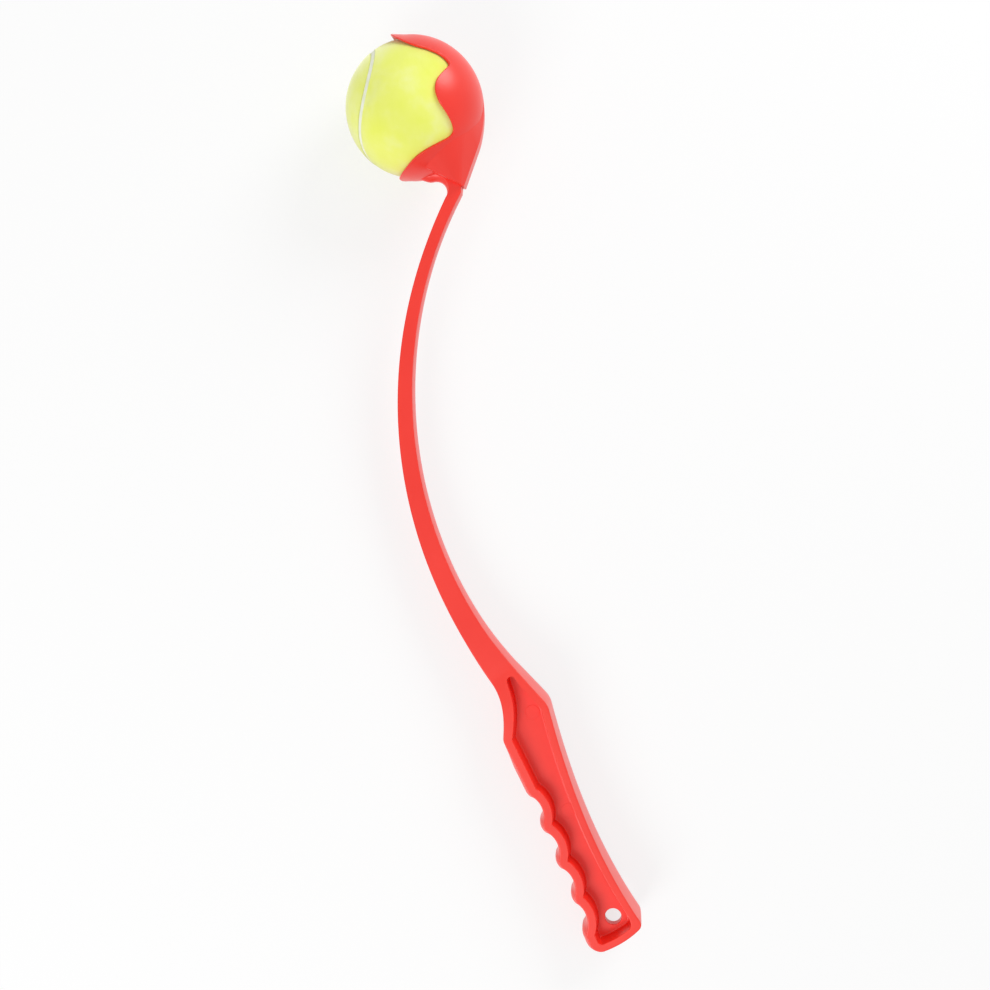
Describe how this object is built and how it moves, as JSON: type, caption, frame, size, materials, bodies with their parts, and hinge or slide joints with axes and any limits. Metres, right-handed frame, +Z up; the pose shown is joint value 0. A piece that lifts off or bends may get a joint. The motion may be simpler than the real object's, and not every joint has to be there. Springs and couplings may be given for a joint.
{
  "type": "dog ball thrower",
  "caption": "Curved one-piece hand thrower with a finger-grip handle and a lobed cup that holds a felt-covered dog ball, lying on its side.",
  "frame": {"origin": "centre of the bounding box, on the floor that the thrower lies on", "axes": "+Z up from the floor; +Y from the handle towards the cup; +X towards the back of the cup, so that the ball leaves towards -X"},
  "size_m": [0.1484, 0.4412, 0.0658],
  "materials": {
    "red_plastic": "satin injection-moulded polypropylene",
    "felt": "woven wool and nylon felt, matt",
    "seam_cement": "pale rubber cement, matt",
    "core_rubber": "moulded rubber, matt"
  },
  "bodies": {
    "thrower": {"thrower_body": "red_plastic"},
    "ball": {"felt_panel_a": "felt", "felt_panel_b": "felt", "ball_seam": "seam_cement", "core_half_a": "core_rubber", "core_half_b": "core_rubber"}
  },
  "joints": [
    {"name": "ball_release", "type": "slide", "parent": "thrower", "child": "ball", "axis": [-0.9998, -0.0209, 0], "range_m": [0, 0.07]}
  ]
}
